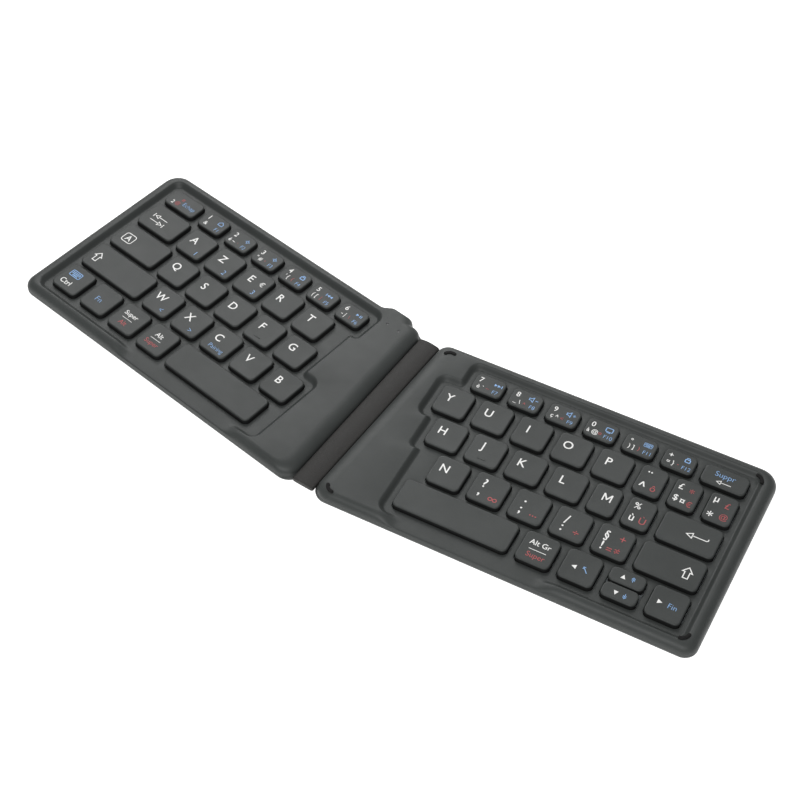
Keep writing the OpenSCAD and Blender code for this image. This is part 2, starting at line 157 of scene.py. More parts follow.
def caseLoop(side, inset, fold):
    # outline of a half, inset inside its outer edges and fold away from the fold line; each radius is
    # the plan's less its share of the inset
    p, share = plan, insetShare
    back, front = fieldDepth + p["frontEdge"] - inset, -p["frontEdge"] + inset
    outer = p["sideEdge"] - inset
    foldBack = p["foldBackRadius"] - inset * share["foldBack"]
    corners = [place([outer, front]), place([outer, back])]
    radii = [p["frontCornerRadius"] - inset * share["frontCorner"],
             p["cornerRadius"] - inset * share["corner"]]
    if side == "left":
        # the charging boss swells out of the back edge
        foot = max(fold, p["foldEdge"]) + foldBack * 0.9 + p["bossGap"]
        out = fieldDepth + p["frontEdge"] + p["bossOut"] - inset * share["bossOut"]
        start, top = (p["bossX"] + inset * part for part in share["bossEnd"])
        outerRun, innerRun = p["bossRuns"]
        corners += [onRow(back, start + outerRun), onRow(out, top), onRow(out, foot + innerRun),
                    onRow(back, foot)]
        radii += [radius + inset * part for radius, part in zip(p["bossRadii"], share["bossRadii"])]
    corners += [onRow(back, fold), onRow(front, fold)]
    radii += [foldBack, p["foldCornerRadius"] - inset * share["foldCorner"]]
    return roundLoop(corners, radii, 10)


def wellLoop(side, border):
    # outline round the keys of a half at a distance, with a step where the rows end apart; corners that
    # stand out grow with the distance and hollow ones shrink
    p = plan
    reach = list(rowReach[side])
    reach[0] = reach[1] = max(reach[0], reach[1])
    if side == "left":
        reach[2] = reach[3] = max(reach[2], reach[3])
    grow = border - p["wellBorder"]
    corners = [[border, -border], [border, fieldDepth + border], [-reach[4] - border, fieldDepth + border]]
    radii = [p["wellRadius"] + grow] * 3
    for j in (3, 2, 1, 0):
        step = reach[j] - reach[j + 1]
        if abs(step) > p["wellStep"]:
            y = rowY[j] + rowDepth[j] + border if step > 0 else rowY[j + 1] - border
            r = min(p["wellRadius"], abs(step) * 0.42)      # both arcs of a step fit into it
            most = r - p["wellLeastRadius"]
            g = float(np.clip(grow, -most, most))
            corners += [[-reach[j + 1] - border, y], [-reach[j] - border, y]]
            radii += [r - g, r + g] if step > 0 else [r + g, r - g]
    corners.append([-reach[0] - border, -border])
    radii.append(p["wellRadius"] + grow)
    return place(roundLoop(corners, radii, 7))


def boxLoop(width, depth, radius, steps=6):
    # rectangle with round corners about the origin
    w, d = width / 2, depth / 2
    return roundLoop([[w, -d], [w, d], [-w, d], [-w, -d]], [radius] * 4, steps)


def sideCounts(loop, longest):
    # into how many even parts each side of an outline goes, so that none is longer
    length = np.linalg.norm(np.roll(loop, -1, 0) - loop, axis=1)
    return np.maximum(np.ceil(length / longest), 1).astype(int)


def splitSides(loop, counts):
    # the outline with its sides cut into that many even parts
    at = np.concatenate([i + np.arange(c) / c for i, c in enumerate(counts)])
    i = at.astype(int)
    f = (at - i)[:, None]
    return loop[i] * (1 - f) + loop[(i + 1) % len(loop)] * f


def keyPlaces(side, split=True):
    # centre, width and depth of every key, by row and place in the row
    found = {}
    for j, widths in enumerate(rows[side]):
        for i, width in enumerate(widths):
            before = sum(widths[:i]) + i * keySize["gap"]
            centre = np.array([-before - width / 2, rowY[j] + rowDepth[j] / 2])
            if split and (side, j, i) == ("right", 0, 1):
                halfDepth = (keySize["depth"] - keySize["split"]) / 2
                shift = np.array([0, (halfDepth + keySize["split"]) / 2])
                found[(j, i, "down")] = (centre - shift, width, halfDepth)
                found[(j, i, "up")] = (centre + shift, width, halfDepth)
            else:
                found[(j, i)] = (centre, width, rowDepth[j])
    return found


leastArea = 1e-7        # of a triangle, doubled, in square millimetres
weldGap = 2e-6          # in metres


class Surface:
    # gathers strips and fills, then welds them into one closed mesh

    def __init__(self):
        self.points, self.faces, self.paint, self.count = [], [], [], 0

    def add(self, points, faces, paint=0):
        self.points.append(np.asarray(points, float).reshape(-1, 3))
        self.faces += (np.asarray(faces) + self.count).tolist()
        self.paint += [paint] * len(faces)
        self.count += len(self.points[-1])

    def strip(self, loops, paint=0):
        # quads between successive closed outlines that have the same number of points
        loops = np.asarray(loops, float)
        k, n = loops.shape[:2]
        row, col = np.arange(k - 1)[:, None] * n, np.arange(n)[None, :]
        after = (col + 1) % n
        quads = np.stack([row + col, row + after, row + n + after, row + n + col], -1).reshape(-1, 4)
        self.add(loops, quads, paint)

    def fill(self, outlines):
        # triangles inside the first outline and outside the others, each point at its own height
        points = np.concatenate(outlines)
        sizes = [len(o) for o in outlines]
        starts = np.cumsum([0] + sizes[:-1])
        edges = np.concatenate([np.stack([np.arange(n), np.roll(np.arange(n), -1)], 1) + s
                                for n, s in zip(sizes, starts)])
        made = delaunay_2d_cdt([Vector(p) for p in points[:, :2]], edges.tolist(), [], 0, 1e-6)
        order = np.array([source[0] for source in made[3]])
        triangles = order[np.array(made[2])]
        # a triangle stays if it has an area and a line from its middle crosses the outlines an odd
        # number of times
        corner = points[triangles, :2]
        side, other = corner[:, 1] - corner[:, 0], corner[:, 2] - corner[:, 0]
        wide = np.abs(side[:, 0] * other[:, 1] - side[:, 1] * other[:, 0]) > leastArea
        middle = corner.mean(1)[:, None, :]
        start, end = points[edges[:, 0], :2], points[edges[:, 1], :2]
        beside = (start[:, 1] > middle[..., 1]) != (end[:, 1] > middle[..., 1])
        rise = np.where(end[:, 1] == start[:, 1], 1.0, end[:, 1] - start[:, 1])
        meet = start[:, 0] + (middle[..., 1] - start[:, 1]) / rise * (end[:, 0] - start[:, 0])
        inside = (beside & (meet > middle[..., 0])).sum(1) % 2 == 1
        self.add(points, triangles[inside & wide])

    def piece(self, name, body, paints, mirror=False, sharp=32, replaces=()):
        points = np.concatenate(self.points) * mm
        if mirror:
            points[:, 0] *= -1
        mesh = bpy.data.meshes.new(name)
        mesh.from_pydata(points.tolist(), [], self.faces)
        mesh.polygons.foreach_set("material_index", np.array(self.paint, np.int32))
        for material in paints:
            mesh.materials.append(material)
        weld = bmesh.new()
        weld.from_mesh(mesh)
        bmesh.ops.remove_doubles(weld, verts=weld.verts, dist=weldGap)
        bmesh.ops.recalc_face_normals(weld, faces=weld.faces)
        weld.to_mesh(mesh)
        weld.free()
        mesh.shade_smooth()
        mesh.set_sharp_from_angle(angle=math.radians(sharp))
        return settle(bpy.data.objects.new(name, mesh), body, replaces)


def settle(thing, body, replaces=()):
    bpy.context.scene.collection.objects.link(thing)
    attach(thing, body)
    if replaces:
        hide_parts(*replaces)
    return thing


def raised(loop, z):
    return np.column_stack([loop, np.broadcast_to(z, len(loop))])


def quarter(steps):
    return np.linspace(0, math.pi / 2, steps + 1)


def colour(code):
    # sRGB code to the linear values that the shaders work in
    c = np.array([int(code[i:i + 2], 16) for i in (1, 3, 5)]) / 255
    return (*np.where(c <= 0.04045, c / 12.92, ((c + 0.055) / 1.055) ** 2.4).tolist(), 1.0)


def perCell(size):
    # scale of a pattern whose cells are this many millimetres wide
    return 1 / (size * mm)


def addNode(tree, kind, inputs=(), stops=(), **settings):
    # one node with what feeds or sets its inputs, the stops of its colour ramp, and its own settings
    node = tree.nodes.new(kind)
    for name, value in settings.items():
        setattr(node, name, value)
    for name, value in dict(inputs).items():
        if isinstance(value, bpy.types.NodeSocket):
            tree.links.new(value, node.inputs[name])
        else:
            node.inputs[name].default_value = value
    for i, (position, shade) in enumerate(stops):
        node.color_ramp.elements[i].position, node.color_ramp.elements[i].color = position, shade
    return node


def startMaterial(name):
    material = bpy.data.materials.new(name)
    material.use_nodes = True
    tree = material.node_tree
    tree.nodes.clear()
    out = addNode(tree, "ShaderNodeOutputMaterial")
    return material, tree, out, addNode(tree, "ShaderNodeTexCoord").outputs["Object"]


def softPlastic(name, dark, light, roughness, grain=0.192, depth=0.02, shine=0.5):
    # moulded plastic: clouds of tone a finger wide that keep it from looking flat, and the grain of an
    # etched mould, whose cell and depth are in millimetres, that spreads its highlights
    material, tree, out, at = startMaterial(name)
    cloud = addNode(tree, "ShaderNodeTexNoise",
                    {"Vector": at, "Scale": perCell(26.3), "Detail": 4.0, "Roughness": 0.55})
    tone = addNode(tree, "ShaderNodeValToRGB", {"Fac": cloud.outputs["Fac"]},
                   [(0.3, colour(dark)), (0.72, colour(light))])
    speck = addNode(tree, "ShaderNodeTexNoise",
                    {"Vector": at, "Scale": perCell(grain), "Detail": 2.0, "Roughness": 0.6})
    wear = addNode(tree, "ShaderNodeTexNoise", {"Vector": at, "Scale": perCell(4.17), "Detail": 3.0})
    rough = addNode(tree, "ShaderNodeMapRange",
                    {"Value": wear.outputs["Fac"], "To Min": roughness[0], "To Max": roughness[1]})
    bump = addNode(tree, "ShaderNodeBump",
                   {"Height": speck.outputs["Fac"], "Strength": 0.35, "Distance": depth * mm})
    shader = addNode(tree, "ShaderNodeBsdfPrincipled",
                     {"Base Color": tone.outputs["Color"], "Roughness": rough.outputs["Result"],
                      "Normal": bump.outputs["Normal"], "IOR": 1.46, "Specular IOR Level": shine})
    tree.links.new(shader.outputs["BSDF"], out.inputs["Surface"])
    return material


def leatherCloth(name, dark, light):
    # embossed leatherette: cells 0.67 mm wide with creases between them, and a finer pebble on top, which
    # make it duller and more broken than the smooth case beside it
    material, tree, out, at = startMaterial(name)
    cells = addNode(tree, "ShaderNodeTexVoronoi", {"Vector": at, "Scale": perCell(0.667), "Randomness": 1.0},
                    feature="DISTANCE_TO_EDGE")
    fine = addNode(tree, "ShaderNodeTexNoise", {"Vector": at, "Scale": perCell(0.263), "Detail": 4.0})
    tone = addNode(tree, "ShaderNodeValToRGB", {"Fac": fine.outputs["Fac"]},
                   [(0.32, colour(dark)), (0.7, colour(light))])
    creases = addNode(tree, "ShaderNodeMapRange", {"Value": cells.outputs["Distance"], "From Max": 0.12})
    pebble = addNode(tree, "ShaderNodeBump",
                     {"Height": fine.outputs["Fac"], "Strength": 0.4, "Distance": 0.04 * mm})
    crease = addNode(tree, "ShaderNodeBump",
                     {"Height": creases.outputs["Result"], "Normal": pebble.outputs["Normal"],
                      "Strength": 0.45, "Distance": 0.06 * mm})
    shader = addNode(tree, "ShaderNodeBsdfPrincipled",
                     {"Base Color": tone.outputs["Color"], "Normal": crease.outputs["Normal"],
                      "Roughness": 0.62})
    tree.links.new(shader.outputs["BSDF"], out.inputs["Surface"])
    return material


def printInk(name, code):
    # pad print: flat ink that is a little uneven where it lies thin
    material, tree, out, at = startMaterial(name)
    thin = addNode(tree, "ShaderNodeTexNoise", {"Vector": at, "Scale": perCell(0.385), "Detail": 3.0})
    faded = tuple(c * 0.86 for c in colour(code)[:3]) + (1.0,)
    tone = addNode(tree, "ShaderNodeValToRGB", {"Fac": thin.outputs["Fac"]},
                   [(0.35, faded), (0.6, colour(code))])
    shader = addNode(tree, "ShaderNodeBsdfPrincipled",
                     {"Base Color": tone.outputs["Color"], "Roughness": 0.55})
    tree.links.new(shader.outputs["BSDF"], out.inputs["Surface"])
    return material


def sheetMetal(name, code, roughness, cell=(8.33, 0.278, 0.278)):
    # rolled or plated metal: fine lines along the sheet in roughness and bump that draw its highlight long;
    # cell is the size of one line in millimetres
    material, tree, out, at = startMaterial(name)
    spread = addNode(tree, "ShaderNodeMapping", {"Vector": at, "Scale": [perCell(size) for size in cell]})
    lines = addNode(tree, "ShaderNodeTexNoise",
                    {"Vector": spread.outputs["Vector"], "Scale": 1.0, "Detail": 4.0})
    rough = addNode(tree, "ShaderNodeMapRange",
                    {"Value": lines.outputs["Fac"], "To Min": roughness * 0.75, "To Max": roughness * 1.3})
    bump = addNode(tree, "ShaderNodeBump",
                   {"Height": lines.outputs["Fac"], "Strength": 0.15, "Distance": 0.01 * mm})
    shader = addNode(tree, "ShaderNodeBsdfPrincipled",
                     {"Roughness": rough.outputs["Result"], "Normal": bump.outputs["Normal"],
                      "Base Color": colour(code), "Metallic": 1.0})
    tree.links.new(shader.outputs["BSDF"], out.inputs["Surface"])
    return material


paint = {
    # soft-touch lacquer on ABS: dark grey with a wide, faint sheen
    "case": softPlastic("soft_touch_case", "#343736", "#3d403f", (0.42, 0.54), shine=0.4),
    "keyTop": softPlastic("soft_touch_keycap", "#343736", "#3c3f3e", (0.42, 0.52), shine=0.4),
    # keycaps' sides painted near-black: painted shade on the sides and in the gaps between keys, which lines
    # every key darkly
    "keySideShade": softPlastic("keycap_side_painted_shade", "#0c0d0d", "#131414", (0.6, 0.75)),
    # moulded rubber: deep black without a highlight
    "rubber": softPlastic("bumper_rubber", "#0b0b0b", "#131313", (0.6, 0.8), grain=0.385, shine=0.25),
    "strip": leatherCloth("fold_leatherette", "#1a1917", "#23211f"),
    "white": printInk("white_print", "#f6f6f4"),
    "blue": printInk("blue_print", "#92bcee"),
    "red": printInk("red_print", "#b45355"),
    # inner parts: rolled steel, nickel plate, the cell's foil, clear film, silicone, natural plastic,
    # green laminate, dark film of the flat cable
    "steel": sheetMetal("rolled_steel", "#b9bcc0", 0.32),
    "nickel": sheetMetal("nickel_plate", "#c9c6be", 0.18),
    "foil": sheetMetal("cell_foil", "#c3c5c8", 0.4, cell=(0.833, 4.17, 0.833)),
    "film": softPlastic("contact_film", "#aeb6ba", "#c9d0d2", (0.2, 0.3), depth=0.005),
    "silicone": softPlastic("dome_silicone", "#c4c4be", "#d6d6d0", (0.4, 0.5)),
    "natural": softPlastic("frame_plastic", "#bdbdb7", "#cfcfc9", (0.4, 0.5)),
    "laminate": softPlastic("board_laminate", "#0d3a1e", "#14522b", (0.25, 0.35)),
    "polyimide": softPlastic("cable_film", "#1d1a17", "#292521", (0.25, 0.35)),
    # smoked acrylic, dark while the lights are off
    "lens": softPlastic("indicator_lens", "#1d1f20", "#2a2c2d", (0.1, 0.2)),
}
print("materials ready")

upper = {
    "topRadius": 3.2,           # roll of the outer edge
    "rollWidth": 5.5,           # the same roll drawn wide along the fold
    "wall": 1.4, "webThickness": 1.1,
    "seam": 0.12,               # bevel where the covers meet
    "margin": 0.08,             # narrow level ring between a roll and a flat face
    "keyPlay": 0.3, "openingEdge": 0.22, "openingRadius": 2.3, "openingMargin": 0.03,
    "wellFoot": 0.2,            # how far the ramp's foot comes into the border
    "footMargin": 0.06,
    "dipFrom": foldU - 90.7, "dipTo": foldU - 38.2,     # finger dip in the front edge
    "dipSlope": 8.0, "dipEdge": 0.35,
    "lightX": (foldU - 26.2, foldU - 20.5), "lightY": fieldDepth + 1.2, "lightRadius": 0.5,
    "longestSide": 1.6,         # of the mesh
}


def dipShare(points):
    # 1 in the finger dip along the front edge, 0 outside it, eased as 3 t^2 - 2 t^3 over the slopes
    x, y = points[..., 0] - fieldX, points[..., 1] - fieldY
    u = -(x * math.cos(slope) + y * math.sin(slope))
    v = -x * math.sin(slope) + y * math.cos(slope)
    rise = np.clip((u - upper["dipFrom"] + upper["dipSlope"]) / upper["dipSlope"], 0, 1)
    fall = np.clip((upper["dipTo"] + upper["dipSlope"] - u) / upper["dipSlope"], 0, 1)
    share = np.minimum(rise, fall)
    return share * share * (3 - 2 * share) * (v < 0)


def upperCover(side):
    # rings of the outline carried up the wall, over a quarter circle and on to the well's edge, then down
    # the ramp to the web with its key openings, and back under it
    u, p = upper, plan
    cover = Surface()
    counts = sideCounts(caseLoop(side, 0, p["foldEdge"]), u["longestSide"])
    wellCounts = sideCounts(wellLoop(side, p["wellBorder"]), u["longestSide"])

    def outerRing(inset, fold, z):
        # in the finger dip, heights above the web's level ease off to it as 1 - e^-x
        loop = splitSides(caseLoop(side, inset, p["foldEdge"] + fold), counts)
        over = max(z - p["webZ"] + u["dipEdge"], 0)
        low = z - over + u["dipEdge"] * (1 - math.exp(-over / u["dipEdge"]))
        return raised(loop, z + (low - z) * dipShare(loop))

    def wellRing(border, z):
        loop = splitSides(wellLoop(side, border), wellCounts)
        return raised(loop, p["webZ"] + (z - p["webZ"]) * (1 - dipShare(loop)))

    def opening(centre, width, depth, grow, z):
        size = 2 * (u["keyPlay"] + grow)
        return raised(place(centre + boxLoop(width + size, depth + size, u["openingRadius"] + grow, 5)), z)

    a = quarter(9)
    inset = u["topRadius"] * (1 - np.cos(a))
    height = p["rimZ"] - u["topRadius"] * (1 - np.sin(a))
    skin = [outerRing(u["wall"], u["wall"], p["axisZ"]), outerRing(u["seam"], u["seam"], p["axisZ"]),
            outerRing(0, 0, p["axisZ"] + u["seam"])]
    skin += [outerRing(e, u["rollWidth"] * e / u["topRadius"], z) for e, z in zip(inset, height)]
    skin.append(outerRing(u["topRadius"] + u["margin"], u["rollWidth"] + u["margin"], p["rimZ"]))
    cover.strip(skin)

    # the ramp falls from the rim to the web along an even S, 3 t^2 - 2 t^3
    foot, head = p["wellBorder"] - u["wellFoot"], p["wellBorder"] + p["rampWidth"]
    lip = [wellRing(head + (foot - head) * t, p["rimZ"] - (p["rimZ"] - p["webZ"]) * t * t * (3 - 2 * t))
           for t in np.linspace(0, 1, 11)]
    lip.append(wellRing(foot - u["footMargin"], p["webZ"]))
    cover.strip(lip)

    lights = []
    if side == "left":
        turn = np.linspace(0, 2 * math.pi, 16, endpoint=False)
        hole = u["lightRadius"] * np.stack([np.cos(turn), np.sin(turn)], 1)
        lights = [place(np.array([-x, u["lightY"]]) + hole) for x in u["lightX"]]
    under = p["webZ"] - u["webThickness"]
    cover.fill([skin[-1], lip[0]] + [raised(light, p["rimZ"]) for light in lights])

    tops, bottoms = [], []
    edge, b = u["openingEdge"], quarter(3)
    for spot in keyPlaces(side, split=False).values():
        walls = [opening(*spot, edge * (1 - s) + u["openingMargin"] * (s == 0), p["webZ"] - edge * (1 - c))
                 for s, c in zip(np.sin(b), np.cos(b))]
        walls.append(opening(*spot, 0, under))
        cover.strip(walls)
        tops.append(walls[0])
        bottoms.append(walls[-1])
    cover.fill([lip[-1]] + tops)
    roof = skin[0].copy()
    roof[:, 2] = under
    cover.strip([skin[0], roof])
    cover.fill([roof] + bottoms + [raised(light, under) for light in lights])
    for light in lights:
        cover.strip([raised(light, p["rimZ"]), raised(light, under)])
    return cover.piece(f"{side}_upper_cover_shell", f"{side}_half", [paint["case"]], side == "left",
                       replaces=[f"{side}_upper_cover", f"{side}_key_grid"])


covers = {side: upperCover(side) for side in sides}
print("upper covers ready")

lower = {
    "bottomRadius": 2.2, "wall": 1.4, "floor": 0.9, "seam": 0.12, "margin": 0.08,
    "foldBevel": 0.4,           # what the round lower edge takes along the fold
    "grooveRadius": 1.02, "groovePlay": 0.03, "grooveZ": (2.9, 3.1),
    "longestSide": 2.5,
}


def lowerCover(side):
    # tray: floor, quarter-round lower edge and wall up to the seam; along the fold the wall keeps clear of
    # the strip's bead by the circle sqrt(r^2 - z^2)
    q, p = lower, plan
    tray = Surface()
    half = p["linkWidth"] / 2
    counts = sideCounts(caseLoop(side, 0, half), q["longestSide"])

    def ring(inset, fold, z):
        return raised(splitSides(caseLoop(side, inset, fold), counts), z)

    def foldAt(z, base):
        reach = np.sqrt(np.maximum(q["grooveRadius"] ** 2 - (z - p["axisZ"]) ** 2, 0))
        return max(base, half + reach + q["groovePlay"])

    a = quarter(7)
    edge = [(q["bottomRadius"] * (1 - s), p["footHeight"] + q["bottomRadius"] * (1 - c))
            for s, c in zip(np.sin(a), np.cos(a))]
    skin = [ring(q["bottomRadius"] + q["margin"], half + q["foldBevel"] + q["margin"], p["footHeight"])]
    skin += [ring(e, foldAt(z, half + q["foldBevel"] * e / q["bottomRadius"]), z) for e, z in edge]
    skin += [ring(0, foldAt(z, 0), z) for z in (*q["grooveZ"], p["axisZ"] - q["seam"])]
    skin.append(ring(q["seam"], foldAt(p["axisZ"], 0) + q["seam"], p["axisZ"]))
    skin += [ring(q["wall"], p["foldEdge"] + q["wall"], z)
             for z in (p["axisZ"], p["footHeight"] + q["floor"])]
    tray.strip(skin)
    tray.fill([skin[0]])
    tray.fill([skin[-1]])
    return tray.piece(f"{side}_lower_cover_shell", f"{side}_half", [paint["case"]], side == "left",
                      replaces=[f"{side}_lower_cover"])


trays = {side: lowerCover(side) for side in sides}

socket = {"u": 26.4 - foldU, "halfWidth": 4, "from": 4, "to": 16, "z": (2.15, 5.15)}


def openSocket(cover):
    # a block at the charging socket's place is taken away from a cover's walls
    s = socket
    x = s["u"] + np.array([-1, 1, 1, -1]) * s["halfWidth"]
    y = fieldDepth + np.array([s["from"], s["from"], s["to"], s["to"]])
    corners = place(np.stack([x, y], -1)) * [-1, 1]
    points = np.concatenate([raised(corners, z) for z in s["z"]]) * mm
    around = [(i, i + 4, (i + 1) % 4 + 4, (i + 1) % 4) for i in range(4)]
    mesh = bpy.data.meshes.new("socket_block")
    mesh.from_pydata(points.tolist(), [], [(0, 1, 2, 3), (7, 6, 5, 4), *around])
    block = bpy.data.objects.new("socket_block", mesh)
    bpy.context.scene.collection.objects.link(block)
    cut = cover.modifiers.new("socket", "BOOLEAN")
    cut.object, cut.operation, cut.solver = block, "DIFFERENCE", "EXACT"
    opened = bpy.data.meshes.new_from_object(cover.evaluated_get(bpy.context.evaluated_depsgraph_get()))
    cover.modifiers.clear()
    cover.data = opened
    bpy.data.objects.remove(block)


openSocket(covers["left"])
openSocket(trays["left"])


def lathe(profile, centre, steps=40):
    # a profile of radius and height turned about a vertical axis
    turn = np.linspace(0, 2 * math.pi, steps, endpoint=False)
    r, z = np.asarray(profile, float).T
    return np.stack([centre[0] + r[:, None] * np.cos(turn), centre[1] + r[:, None] * np.sin(turn),
                     np.broadcast_to(z[:, None], (len(z), steps))], -1)


footPad = {
    "x": (-8, 41.2 - foldU), "y": (4, fieldDepth - 6),
    "profile": [(0, 0), (3.6, 0), (3.88, 0.08), (4, 0.3), (4, 0.7), (0, 0.7)],
}
for side in sides:
    pads = Surface()
    for x in footPad["x"]:
        for y in footPad["y"]:
            pads.strip(lathe(footPad["profile"], place([x, y])))
    pads.piece(f"{side}_rubber_feet", f"{side}_half", [paint["rubber"]], side == "left",
               replaces=[f"{side}_feet"])
print("lower covers and feet ready")

frontLine, backLine = -plan["frontEdge"], fieldDepth + plan["frontEdge"]
bumper = {
    "radius": 2.9, "width": 1.3, "turn": 100.0, "base": 6.5, "top": 7.22, "edge": 0.24,
    # middle of each arc and the angle at which it starts
    "arcs": ((place([plan["sideEdge"] - 7.2, frontLine + 7]), plan["splay"] - 95),
             (place([plan["sideEdge"] - 8.1, backLine - 7.9]), plan["splay"] - 5),
             (onRow(backLine - 7, plan["foldEdge"] + 6.8), 65),
             (onRow(frontLine + 5.6, plan["foldEdge"] + 7.1), 188)),
}


def arcPad(centre, start):
    # round-edged bar bent along an arc; near both ends its section shrinks as sqrt(1 - (1 - x)^2)
    b = bumper
    t = np.linspace(0, 1, 33)
    turn = math.radians(b["turn"])
    off = np.minimum(t, 1 - t) * turn * b["radius"] / (b["width"] / 2)
    size = np.sqrt(np.clip(1 - (1 - np.clip(off, 0, 1)) ** 2, 0, 1))
    section = boxLoop(b["width"], b["top"] - b["base"], b["edge"], 3)
    angle = math.radians(start) + t * turn
    radius = b["radius"] + section[None, :, 0] * size[:, None]
    z = (b["top"] + b["base"]) / 2 + section[None, :, 1] * size[:, None] ** 0.5
    return np.stack([centre[0] + radius * np.cos(angle)[:, None],
                     centre[1] + radius * np.sin(angle)[:, None], z], -1)


pads = Surface()
for spot, start in bumper["arcs"]:
    pads.strip(arcPad(spot, start))
pads.piece("corner_bumpers", "right_half", [paint["rubber"]], replaces=["bumpers"])

lensProfile = [(0, 6.62), (0.4, 6.6), (0.47, 6.55), (0.47, 6.45), (0, 6.45)]
lens = Surface()
for x in upper["lightX"]:
    lens.strip(lathe(lensProfile, place([-x, upper["lightY"]]), 20))
lens.piece("indicator_lenses", "left_half", [paint["lens"]], mirror=True)

foldBand = {"beadRadius": 0.9, "beadTurn": (-90, 70), "crown": 0.5, "middleZ": 0.1, "endRound": 0.5}


def foldStrip():
    # section: bead, top crowned as 1 - x^2, bead, flat underside; carried along the fold and drawn in a
    # little on a quarter circle at its ends
    s = foldBand
    half = plan["linkWidth"] / 2
    low, high = (np.array(c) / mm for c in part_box("hinge_strip"))
    right = np.linspace(*s["beadTurn"], 15) * math.pi / 180
    bead = np.stack([half + s["beadRadius"] * np.cos(right), s["beadRadius"] * np.sin(right)], 1)
    x = np.linspace(half, -half, 25)[1:-1]
    top = np.stack([x, s["beadRadius"] + s["crown"] * (1 - (x / half) ** 2)], 1)
    section = np.concatenate([bead, top, bead[::-1] * [-1, 1]])
    middle = np.array([0, s["middleZ"]])
    a = quarter(4)
    out = s["endRound"] * (1 - np.sin(a))
    draw = 1 - s["endRound"] * (1 - np.cos(a)) / 4
    along = np.concatenate([low[1] + out[::-1], high[1] - out])
    rings = middle + (section - middle) * np.concatenate([draw[::-1], draw])[:, None, None]
    loops = np.stack([rings[..., 0], np.broadcast_to(along[:, None], rings.shape[:2]),
                      rings[..., 1] + plan["axisZ"]], -1)
    cap = np.broadcast_to(loops.mean(1, keepdims=True), loops.shape)
    band = Surface()
    band.strip(np.concatenate([cap[:1], loops, cap[-1:]]))
    return band.piece("fold_strip_cover", "strip", [paint["strip"]], sharp=50,
                      replaces=["hinge_strip"])


foldStrip()
print("bumpers, lenses and strip ready")

keyShape = {
    "corner": 2.0, "bevel": 0.5, "dish": 0.07, "foot": 0.1, "margin": 0.08,
    "dishRings": (1, 0.9, 0.75, 0.5, 0.25, 0),          # share of the way out from the middle
    "barSize": (3.2, 0.5, 0.24), "barFromFront": 2.4,   # finger mark on F and J
    "barRings": ((0, 6.6), (0, 6.74), (0.08, 6.79), (0.2, 6.8)),
}
# which keys of a half each node holds, by row and place in the row
keyNodes = {
    "left": {(4, i): "number_keys_left" for i in range(7)}
    | {(j, 0): "outer_keys_left" for j in (1, 2, 3)} | {(0, i): "outer_keys_left" for i in range(4)}
    | {(3, i + 1): f"key_{c}" for i, c in enumerate("azert")}
    | {(2, i + 1): f"key_{c}" for i, c in enumerate("qsdfg")}
    | {(1, i + 1): f"key_{c}" for i, c in enumerate("wxcvb")} | {(0, 4): "key_space_left"},
    "right": {(4, i): "number_keys_right" for i in range(7)}
    | {spot: "outer_keys_right" for spot in ((3, 0), (3, 1), (3, 2), (2, 1), (1, 0), (0, 0), (0, 1, "up"),
                                             (0, 1, "down"), (0, 2), (0, 3))}
    | {(3, 7 - i): f"key_{c}" for i, c in enumerate("yuiop")}
    | {(2, 6 - i): f"key_{c}" for i, c in enumerate("hjklm")}
    | {(1, 5 - i): f"key_{c}" for i, c in enumerate(("n", "comma", "semicolon", "colon", "exclamation"))}
    | {(2, 0): "key_enter", (0, 4): "key_space_right"},
}
keyCentres = {side: keyPlaces(side) for side in sides}


def spotsByNode(side):
    found = {}
    for spot, node in keyNodes[side].items():
        found.setdefault(node, []).append(spot)
    return found


def keycap(surface, centre, width, depth):
    # skirt painted near-black as shade, quarter-round bevel, and a top that dips towards its middle as 1 -
    # share^2
    k, p = keyShape, plan

    def ring(inset, z):
        outline = boxLoop(width - 2 * inset, depth - 2 * inset, k["corner"] - inset * 0.6)
        return raised(place(centre + outline), z)

    shoulder = p["keyZ"] - k["bevel"]
    skirt = [ring(k["foot"], p["skirtZ"]), ring(0, p["skirtZ"] + k["foot"]), ring(0, shoulder)]
    floor = np.broadcast_to(raised(place(centre)[None], p["skirtZ"]), skirt[0].shape)
    # the skirt takes the second paint, the near-black painted shade of the keys' sides
    surface.strip([floor, *skirt], 1)
    a = quarter(6)
    top = [ring(k["bevel"] * (1 - c), shoulder + k["bevel"] * s) for c, s in zip(np.cos(a), np.sin(a))]
    rim = ring(k["bevel"] + k["margin"], 0)
    middle = np.append(place(centre), 0)
    share = np.array(k["dishRings"])[:, None, None]
    flat = middle + (rim - middle) * share
    flat[..., 2] = p["keyZ"] - k["dish"] * (1 - share[..., 0] ** 2)
    surface.strip(np.concatenate([top, flat]))


def fingerBar(surface, centre, depth):
    # small rounded ridge near the front of a cap, closed at both heights by a point
    width, thick, radius = keyShape["barSize"]
    spot = centre + np.array([0, -depth / 2 + keyShape["barFromFront"]])
    bar = [raised(place(spot + boxLoop(width - 2 * e, thick - 2 * e, radius - e, 4)), z)
           for e, z in keyShape["barRings"]]
    ends = [np.broadcast_to(b.mean(0), b.shape) for b in (bar[0], bar[-1])]
    surface.strip([ends[0], *bar, ends[1]])


for side in sides:
    for node, spots in spotsByNode(side).items():
        surface = Surface()
        for spot in spots:
            keycap(surface, *keyCentres[side][spot])
        if node in ("key_f", "key_j"):
            centre, width, depth = keyCentres[side][spots[0]]
            fingerBar(surface, centre, depth)
        surface.piece(f"{node}_caps" if "keys" in node else f"{node}_cap", node,
                      [paint["keyTop"], paint["keySideShade"]], side == "left", replaces=[node])
print("keycaps ready")

legend = {
    "z": 6.71,                  # print lies just over the caps
    "letterSize": 4.9, "letterAt": (-2.1, 1.15),
    "weight": {"white": 0.009, "blue": -0.012, "red": -0.001},      # outlines drawn fatter or thinner
}
textCache = {}


